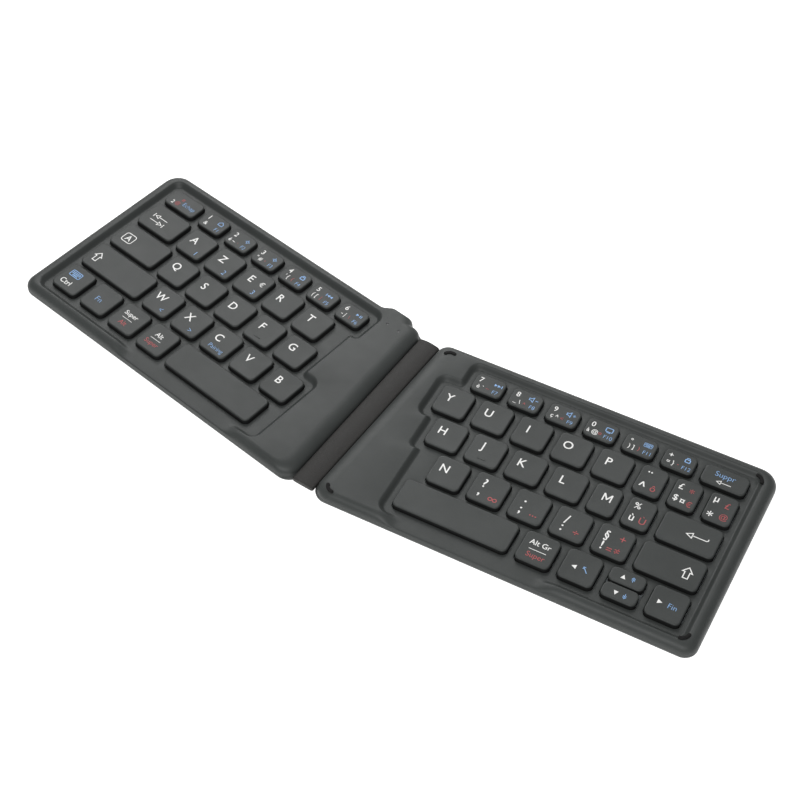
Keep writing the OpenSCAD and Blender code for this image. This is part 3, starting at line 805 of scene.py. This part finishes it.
def textShape(words, size, weight):
    # flat faces of a word about its own middle, in millimetres
    if (words, weight) not in textCache:
        curve = bpy.data.curves.new("word", "FONT")
        curve.body, curve.size, curve.resolution_u, curve.offset = words, 1.0, 4, weight
        holder = bpy.data.objects.new("word", curve)
        bpy.context.scene.collection.objects.link(holder)
        flat = bpy.data.meshes.new_from_object(holder.evaluated_get(bpy.context.evaluated_depsgraph_get()))
        points = np.empty(len(flat.vertices) * 3, np.float32)
        flat.vertices.foreach_get("co", points)
        points = points.reshape(-1, 3)[:, :2].astype(float)
        middle = (points.max(0) + points.min(0)) / 2
        textCache[words, weight] = (points - middle, [list(f.vertices) for f in flat.polygons])
        bpy.data.objects.remove(holder)
        bpy.data.curves.remove(curve)
        bpy.data.meshes.remove(flat)
    points, faces = textCache[words, weight]
    return points * size, faces


def line(points, width=0.3, closed=False):
    # ribbon along a line of points, its joints mitred: each side is offset along the mean of the two
    # normals, divided by its share along one of them
    points = np.asarray(points, float)
    ahead = unit(np.roll(points, -1, 0) - points)
    behind = np.roll(ahead, 1, 0)
    if not closed:
        behind[0], ahead[-1] = ahead[0], behind[-1]
    across = unit(ahead + behind)[:, ::-1] * [-1, 1]
    across /= (across * (ahead[:, ::-1] * [-1, 1])).sum(1, keepdims=True)
    n = len(points)
    i = np.arange(n if closed else n - 1)
    j = (i + 1) % n
    both = np.concatenate([points + across * width / 2, points - across * width / 2])
    return both, np.stack([i, i + n, j + n, j], 1).tolist()


def solid(points):
    return np.asarray(points, float), [list(range(len(points)))]


def moved(shape, x, y, size=1.0):
    return shape[0] * size + np.array([x, y]), shape[1]


def turned(shape, degrees):
    c, s = math.cos(math.radians(degrees)), math.sin(math.radians(degrees))
    return shape[0] @ np.array([[c, s], [-s, c]]), shape[1]


def mirrored(shape):
    return shape[0] * [-1, 1], [face[::-1] for face in shape[1]]


def joined(*shapes):
    points, faces, count = [], [], 0
    for p, f in shapes:
        points.append(p)
        faces += [[i + count for i in face] for face in f]
        count += len(p)
    return np.concatenate(points), faces


# marks of the keys, in millimetres about the middle of each
shiftArrow = line([[0, 2.0], [1.5, 0.3], [0.75, 0.3], [0.75, -1.9], [-0.75, -1.9], [-0.75, 0.3],
                   [-1.5, 0.3]], 0.32, True)
leftArrow = joined(line([[-3.0, 0], [-1.3, 0.85], [-1.3, -0.85]], 0.3, True), line([[-1.3, 0], [3.0, 0]]))
enterArrow = joined(line([[-3.6, 0], [-1.6, 1.0], [-1.6, -1.0]], 0.32, True),
                    line([[-1.6, 0], [3.2, 0], [3.6, 0.3], [3.6, 1.0]], 0.32))
tabArrow = joined(moved(leftArrow, 0.3, 1.1, 0.85), line([[-2.9, 0.3], [-2.9, 1.9]]),
                  moved(mirrored(leftArrow), -0.3, -1.1, 0.85), line([[2.9, -1.9], [2.9, -0.3]]))
frameMark = line(boxLoop(4.4, 3.8, 0.9, 4), 0.3, True)
triangle = solid([[-0.75, 0], [0.6, 0.7], [0.6, -0.7]])
rightward = (triangle[0] * [-0.75, 0.75] - [0.7, 0], [[0, 2, 1]])
chevrons = joined(moved(triangle, -0.8, 0, 0.75), moved(triangle, 0.3, 0, 0.75),
                  line([[-1.7, -0.55], [-1.7, 0.55]], 0.25))
playMark = joined(rightward, line([[0.35, -0.5], [0.35, 0.5]], 0.25), line([[0.9, -0.5], [0.9, 0.5]], 0.25))
homeMark = line([[-0.9, -0.7], [-0.9, 0.2], [0, 1.0], [0.9, 0.2], [0.9, -0.7]], 0.22, True)
lockMark = joined(line(boxLoop(1.5, 1.1, 0.2, 2), 0.3, True),
                  line([[-0.4, 0.6], [-0.4, 1.1], [0.4, 1.1], [0.4, 0.6]], 0.22))
screenMark = joined(line(boxLoop(2.2, 1.5, 0.25, 2), 0.26, True), line([[-0.6, -1.1], [0.6, -1.1]], 0.22))
hornMark = line([[-1.5, 0.35], [-1.5, -0.35], [-0.9, -0.35], [-0.2, -0.95], [-0.2, 0.95], [-0.9, 0.35]],
                0.22, True)
quietMark = joined(hornMark, line([[0.5, 0], [1.4, 0]], 0.24))
loudMark = joined(quietMark, line([[0.95, -0.45], [0.95, 0.45]], 0.24))
keysMark = joined(line(boxLoop(4.2, 2.3, 0.4, 3), 0.26, True), line([[-1.1, -0.62], [1.1, -0.62]], 0.34),
                  *[line([[x - 0.24, y], [x + 0.24, y]], 0.42)
                    for y in (0.5, -0.05) for x in (-1.4, -0.7, 0, 0.7, 1.4)])
cornerArrow = joined(line([[-0.7, 0.2], [-0.7, 0.9], [0, 0.9]], 0.24), line([[-0.7, 0.9], [0.8, -0.9]], 0.24))
dayMark = joined(line(boxLoop(0.9, 0.9, 0.44, 4), 0.2, True), line([[-0.9, 0], [-0.65, 0]], 0.2),
                 line([[0.65, 0], [0.9, 0]], 0.2), line([[0, 0.65], [0, 0.9]], 0.2),
                 line([[0, -0.9], [0, -0.65]], 0.2))
pageArrow = joined(line([[0, -1.0], [0, 0.9]], 0.22), line([[-0.6, 0.3], [0, 0.95], [0.6, 0.3]], 0.22),
                   line([[-0.6, -0.3], [0, 0.35], [0.6, -0.3]], 0.22))
divider = line([[-2.6, 0], [2.6, 0]], 0.2)
letterM = solid([[-1.7, -1.7], [-1.2, -1.7], [-1.2, 0.7], [-0.2, -1.0], [0.2, -1.0], [1.2, 0.7], [1.2, -1.7],
                 [1.7, -1.7], [1.7, 1.7], [1.15, 1.7], [0, -0.3], [-1.15, 1.7], [-1.7, 1.7]])

# what is printed on each key: (word or mark, ink, right, back, size)
printed = {
    ("left", 4, 0): [("2", "white", -4.6, -1.9, 2.6), ("@", "red", -2.3, -1.6, 2.4),
                     ("#", "red", -1.5, 1.1, 2.4), ("Echap", "blue", 3.2, -0.7, 2.8)],
    ("left", 3, 0): [(tabArrow, "white", -2.3, -0.7, 1.25)],
    ("left", 2, 0): [(frameMark, "white", -6.3, -0.5, 1.2), ("A", "white", -6.3, -0.5, 4.0)],
    ("left", 1, 0): [(shiftArrow, "white", -11.8, -0.6, 1.2)],
    ("left", 0, 0): [("Ctrl", "white", -1.6, -2.8, 3.4), (keysMark, "blue", -1.2, 2.2, 1.25)],
    ("left", 0, 1): [("Fn", "blue", -0.6, -0.7, 3.5)],
    ("left", 0, 2): [("Super", "white", -0.6, 1.7, 2.9), (divider, "white", -0.6, -0.6, 1.0),
                     ("Alt", "red", -0.6, -2.9, 3.0)],
    ("left", 0, 3): [("Alt", "white", -0.7, 1.8, 3.0), (divider, "white", -0.6, -0.6, 1.0),
                     ("Super", "red", -0.6, -3.0, 2.9)],
    ("left", 3, 1): [("1", "blue", 3.3, -3.9, 3.4)],
    ("left", 3, 2): [("2", "blue", 3.3, -3.9, 3.4)],
    ("left", 3, 3): [("3", "blue", 3.3, -3.9, 3.4), ("€", "white", 3.3, 1.4, 3.2)],
    ("left", 1, 1): [("<", "blue", 2.6, -3.7, 3.4)],
    ("left", 1, 2): [(">", "blue", 2.6, -3.7, 3.4)],
    ("left", 1, 3): [("Pairing", "blue", 0.8, -3.9, 2.7)],
    ("right", 4, 0): [("Suppr", "blue", -0.3, 0.9, 3.3), (leftArrow, "white", 0.2, -2.1, 0.9)],
    ("right", 3, 0): [("µ", "white", -2.7, 2.9, 4.2), ("£", "red", 1.8, 2.2, 3.7),
                      ("*", "white", -2.7, -3.5, 5.3), ("@", "red", 2.2, -3.1, 3.2)],
    ("right", 3, 1): [("£", "white", -2.6, 3.0, 3.7), ("*", "red", 1.6, 2.4, 4.5),
                      ("$", "white", -2.7, -2.6, 3.7), ("¤", "white", 0, -3.0, 3.7),
                      ("€", "red", 2.6, -3.4, 3.4)],
    ("right", 3, 2): [("¨", "white", -1.6, 3.6, 5.8), ("^", "white", -2.2, -2.4, 5.3),
                      ("ô", "red", 1.9, -2.9, 4.0)],
    ("right", 2, 1): [("%", "white", -1.7, 3.0, 3.8), ("ù", "white", -1.8, -2.5, 4.5),
                      ("Ù", "red", 2.2, -2.3, 4.0)],
    ("right", 2, 0): [(enterArrow, "white", 2.9, -0.1, 1.1)],
    ("right", 1, 0): [(shiftArrow, "white", 6.2, -0.3, 1.2)],
    ("right", 1, 1): [("§", "white", -3.1, 1.4, 4.8), ("+", "red", 2.6, 2.2, 4.5),
                      ("!", "white", -3.1, -2.9, 5.0), ("=", "red", -0.2, -3.7, 4.2),
                      ("≠", "red", 2.6, -3.3, 4.2)],
    ("right", 1, 2): [("/", "white", -2.1, 1.2, 5.3), (":", "white", -2.5, -2.8, 5.3),
                      ("÷", "red", 2.9, -2.8, 4.5)],
    ("right", 1, 3): [(".", "white", -2.3, 1.4, 5.8), (";", "white", -2.5, -3.0, 5.5),
                      ("...", "red", 2.6, -3.2, 4.8)],
    ("right", 1, 4): [("?", "white", -2.3, 2.0, 5.3), (",", "white", -2.6, -3.5, 5.8),
                      ("∞", "red", 3.0, -3.5, 4.2)],
    ("right", 0, 3): [("Alt Gr", "white", 0, 2.2, 3.0), (divider, "white", 0.1, -0.8, 1.25),
                      ("Super", "red", 0.4, -3.4, 3.0)],
    ("right", 0, 2): [(triangle, "white", -2.2, -0.5, 1.3), (cornerArrow, "blue", 1.8, -0.3, 1.2)],
    ("right", 0, 1, "up"): [(turned(triangle, -90), "white", -1.5, -0.1, 1.25),
                            (pageArrow, "blue", 2.0, 0.2, 1.0)],
    ("right", 0, 1, "down"): [(turned(triangle, 90), "white", -1.4, -0.3, 1.25),
                              (turned(pageArrow, 180), "blue", 2.0, -0.4, 1.0)],
    ("right", 0, 0): [(turned(triangle, 180), "white", -2.8, -0.2, 1.3), ("Fin", "blue", 1.9, -0.3, 3.0)],
    ("right", 2, 2): [(letterM, "white", 0.5, 1.15, 1.0)],
}
# letters by half and row: place of the first, step to the next
for side, j, first, step, letters in (("left", 3, 1, 1, "AZERT"), ("left", 2, 1, 1, "QSDFG"),
                                      ("left", 1, 1, 1, "WXCVB"), ("right", 3, 7, -1, "YUIOP"),
                                      ("right", 2, 6, -1, "HJKL"), ("right", 1, 5, -1, "N")):
    for i, letter in enumerate(letters):
        printed.setdefault((side, j, first + i * step), []).append(
            (letter, "white", *legend["letterAt"], legend["letterSize"]))
# figure, second sign, red sign and blue mark of each number key, and where each stands
numberPrint = {
    "left": [("1", "&", "", homeMark), ("2", "é ~", "`", dayMark), ("3", "\" #", "'", dayMark),
             ("4", "' {", "(", lockMark), ("5", "( [", "|", chevrons), ("6", "- |", "\\", playMark)],
    "right": [("7", "è `", "~", turned(chevrons, 180)), ("8", "_ \\", "^", quietMark),
              ("9", "ç ^", "<", loudMark), ("0", "à @", "o", screenMark),
              ("°", ") ]", ")", moved(keysMark, 0, 0, 0.62)), ("+", "= }", "-", lockMark)],
}
for i in range(6):
    for side, key, figure in (("left", i + 1, i + 1), ("right", 6 - i, i + 7)):
        main, second, red, mark = numberPrint[side][i]
        entries = [(main, "white", -3.6, 1.6, 3.2), (second, "white", -2.8, -1.8, 2.6),
                   (mark, "blue", 2.7, 1.4, 1.2), (f"F{figure}", "blue", 3.4, -2.1, 2.4)]
        if red:
            entries.append((red, "red", 0.1, -1.6, 2.4))
        printed[(side, 4, key)] = entries


def keyPrint(side, node, spots):
    # all words and marks of one key or bank, turned to the half's splay and laid on the caps
    inks = ("white", "blue", "red")
    way = -1 if side == "left" else 1
    points, faces, index, count = [], [], [], 0
    for spot in spots:
        centre = place(keyCentres[side][spot][0]) * [way, 1]
        for what, ink, x, y, size in printed.get((side, *spot), []):
            isWord = isinstance(what, str)
            p, f = textShape(what, size, legend["weight"][ink]) if isWord else moved(what, 0, 0, size)
            p = turned(moved((p, f), x, y), plan["splay"] * way)[0] + centre
            points.append(raised(p, legend["z"]))
            faces += [[i + count for i in face] for face in f]
            index += [inks.index(ink)] * len(f)
            count += len(p)
    if not points:
        return
    mesh = bpy.data.meshes.new(f"{node}_print")
    mesh.from_pydata((np.concatenate(points) * mm).tolist(), [], faces)
    for ink in inks:
        mesh.materials.append(paint[ink])
    mesh.polygons.foreach_set("material_index", np.array(index, np.int32))
    settle(bpy.data.objects.new(f"{node}_print", mesh), node)


for side in sides:
    for node, spots in spotsByNode(side).items():
        keyPrint(side, node, spots)
print("legends ready")

# solids that stay as they are
keptSolids = {
    "left_key_plate": "steel", "right_key_plate": "steel", "left_membrane": "film", "right_membrane": "film",
    "left_domes": "silicone", "right_domes": "silicone", "battery": "foil", "main_board": "laminate",
    "charge_socket": "nickel", "magnets": "nickel",
}
for node, finish in keptSolids.items():
    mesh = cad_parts[node].data
    mesh.materials.clear()
    mesh.materials.append(paint[finish])

# the scissor links are drawn lowered; the caps, which are closed blocks here, still cross them out of sight
links = {"sheetZ": 2.05, "upTop": 5.8, "downTop": 4.3}
for side in sides:
    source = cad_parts[f"{side}_scissors"]
    flat = source.data.copy()
    flat.transform(source.matrix_world)
    points = np.empty(len(flat.vertices) * 3)
    flat.vertices.foreach_get("co", points)
    points = points.reshape(-1, 3) / mm
    squash = (links["downTop"] - links["sheetZ"]) / (links["upTop"] - links["sheetZ"])
    points[:, 2] = links["sheetZ"] + (points[:, 2] - links["sheetZ"]) * squash
    surface = Surface()
    surface.add(points, [list(face.vertices) for face in flat.polygons])
    surface.piece(f"{side}_scissor_links", f"{side}_half", [paint["natural"]], replaces=[f"{side}_scissors"])
    bpy.data.meshes.remove(flat)

# the flat cable bends on the two fold lines: one length in the strip and one in each half
cable = {
    "thickness": 0.2, "near": 16.25, "far": 26.25,
    "bendGap": 0.12,            # left open on each side of a fold line
    "bend": ((8.5, 0), (8.85, -0.07), (9.1, -0.32), (9.2, -0.55), (9.3, 0.07), (9.6, 0), (12.2, 0)),
    "footZ": {"left": 2.3, "right": 2.15},      # where its ends land on the board and on the membrane
}


def cableLength(name, body, path, replaces=()):
    # ribbon of even thickness along a path seen from the front
    edge = line(path, cable["thickness"])[0].reshape(2, len(path), 2)
    x, z = edge[..., 0], edge[..., 1]
    near, far = np.full(len(path), cable["near"]), np.full(len(path), cable["far"])
    loops = np.stack([np.stack(c, -1) for c in ((x[0], near, z[0]), (x[0], far, z[0]), (x[1], far, z[1]),
                                                (x[1], near, z[1]))], 1)
    surface = Surface()
    surface.strip(loops)
    surface.add(loops[0], [[0, 1, 2, 3]])
    surface.add(loops[-1], [[3, 2, 1, 0]])
    surface.piece(name, body, [paint["polyimide"]], replaces=replaces)


foldX, axisZ = plan["linkWidth"] / 2, plan["axisZ"]
for side, way in (("left", -1), ("right", 1)):
    path = np.array([(cable["bendGap"], 0), *cable["bend"]]) + [foldX, axisZ]
    path[-3:, 1] += cable["footZ"][side] - axisZ        # the last three points follow the foot's level
    cableLength(f"{side}_cable_end", f"{side}_half", path * [way, 1])
reach = foldX - cable["bendGap"]
cableLength("strip_cable", "strip", np.array([[-reach, axisZ], [reach, axisZ]]), ["flex_cable"])
print("inner parts ready")

studio = {
    "floor": ("#f5f5f4", "#f7f7f6"), "floorSize": 3.0, "floorGlow": 0.8, "worldStrength": 0.31,
    # place, target, size and power of each soft box
    "lamps": {"key_light": ((-0.52, 0.66, 0.68), (-0.03, 0, 0), (0.8, 0.6), 6.4),
              "fill_light": ((0.2, -0.65, 0.8), (0, 0, 0), (0.9, 0.4), 6.5)},
    "lens": 76.736, "eye": (0.24091, -0.32603, 0.49247),
    "eyeRight": (0.82007, 0.57221, -0.00779), "eyeUp": (-0.43691, 0.63484, 0.63726),
}


def paleFloor():
    # matte white board; it glows only to the eye and to rays that mirror or pass, so that it reads white
    # but lights the keyboard as plain board does
    material, tree, out, at = startMaterial("studio_floor")
    grain = addNode(tree, "ShaderNodeTexNoise", {"Vector": at, "Scale": perCell(125), "Detail": 2.0})
    dark, light = (colour(code) for code in studio["floor"])
    tone = addNode(tree, "ShaderNodeValToRGB", {"Fac": grain.outputs["Fac"]}, [(0.3, dark), (0.7, light)])
    matte = addNode(tree, "ShaderNodeBsdfDiffuse", {"Color": tone.outputs["Color"]}).outputs["BSDF"]
    glow = addNode(tree, "ShaderNodeEmission", {"Strength": studio["floorGlow"]})
    path = addNode(tree, "ShaderNodeLightPath").outputs
    seen = addNode(tree, "ShaderNodeMath", {0: path["Is Camera Ray"], 1: path["Is Glossy Ray"]},
                   operation="MAXIMUM")
    seen = addNode(tree, "ShaderNodeMath", {0: seen.outputs["Value"], 1: path["Is Transmission Ray"]},
                   operation="MAXIMUM")
    bright = addNode(tree, "ShaderNodeAddShader", {0: matte, 1: glow.outputs["Emission"]})
    mix = addNode(tree, "ShaderNodeMixShader",
                  {0: seen.outputs["Value"], 1: matte, 2: bright.outputs["Shader"]})
    tree.links.new(mix.outputs["Shader"], out.inputs["Surface"])
    mesh = bpy.data.meshes.new("studio_floor")
    r = studio["floorSize"]
    mesh.from_pydata([(-r, -r, 0), (r, -r, 0), (r, r, 0), (-r, r, 0)], [], [(0, 1, 2, 3)])
    mesh.materials.append(material)
    floor = bpy.data.objects.new("studio_floor", mesh)
    bpy.context.scene.collection.objects.link(floor)


def softBox(name, spot, target, size, power):
    light = bpy.data.lights.new(name, "AREA")
    light.shape, light.size, light.size_y, light.energy = "RECTANGLE", size[0], size[1], power
    lamp = bpy.data.objects.new(name, light)
    lamp.location = spot
    lamp.rotation_euler = (Vector(target) - Vector(spot)).to_track_quat("-Z", "Y").to_euler()
    bpy.context.scene.collection.objects.link(lamp)


paleFloor()
for name, lamp in studio["lamps"].items():
    softBox(name, *lamp)

# the eye sees a white surround, the keyboard is lit by a dimmer one
world = bpy.data.worlds.new("studio")
bpy.context.scene.world = world
world.use_nodes = True
tree = world.node_tree
surround = tree.nodes["Background"]
surround.inputs["Color"].default_value = (1, 1, 1, 1)
path = addNode(tree, "ShaderNodeLightPath")
amount = addNode(tree, "ShaderNodeMath", {0: path.outputs["Is Camera Ray"], 1: 1 - studio["worldStrength"],
                                          2: studio["worldStrength"]}, operation="MULTIPLY_ADD")
tree.links.new(amount.outputs["Value"], surround.inputs["Strength"])

camera = bpy.data.cameras.new("camera")
camera.lens, camera.sensor_width, camera.sensor_fit = studio["lens"], 36.0, "HORIZONTAL"
camera.clip_start = 0.01
eye = bpy.data.objects.new("camera", camera)
right, up = Vector(studio["eyeRight"]), Vector(studio["eyeUp"])
away = right.cross(up)
eye.matrix_world = Matrix.Translation(studio["eye"]) @ Matrix(
    ((right.x, up.x, away.x), (right.y, up.y, away.y), (right.z, up.z, away.z))).to_4x4()
bpy.context.scene.collection.objects.link(eye)
bpy.context.scene.camera = eye
bpy.context.scene.view_settings.view_transform = "Standard"
print("studio ready")
